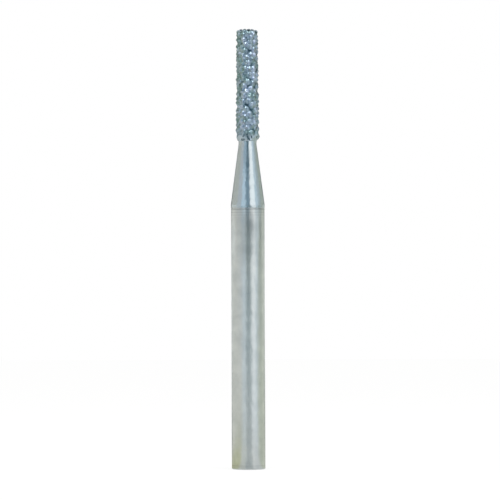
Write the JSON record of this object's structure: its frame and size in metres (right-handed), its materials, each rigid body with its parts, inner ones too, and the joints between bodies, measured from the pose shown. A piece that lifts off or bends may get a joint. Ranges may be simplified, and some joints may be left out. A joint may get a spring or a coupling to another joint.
{
  "type": "dental bur",
  "caption": "Friction-grip dental bur: round steel shank, tapered nickel-plated neck and a long, slightly tapered flat-ended head covered in diamond grit.",
  "frame": {"origin": "centre of the flat end of the shank", "axes": "+Z along the bur's axis from the shank's end to the gritted tip; +X and +Y square to it, +X through the one grain that stands out of the coat's start"},
  "size_m": [0.0016, 0.0016, 0.021],
  "materials": {
    "ground_steel": "satin",
    "nickel": "gloss",
    "diamond": "gloss"
  },
  "bodies": {
    "root": {"steel_blank": "ground_steel", "nickel_plating": "nickel", "diamond_grit": "diamond"}
  },
  "joints": []
}
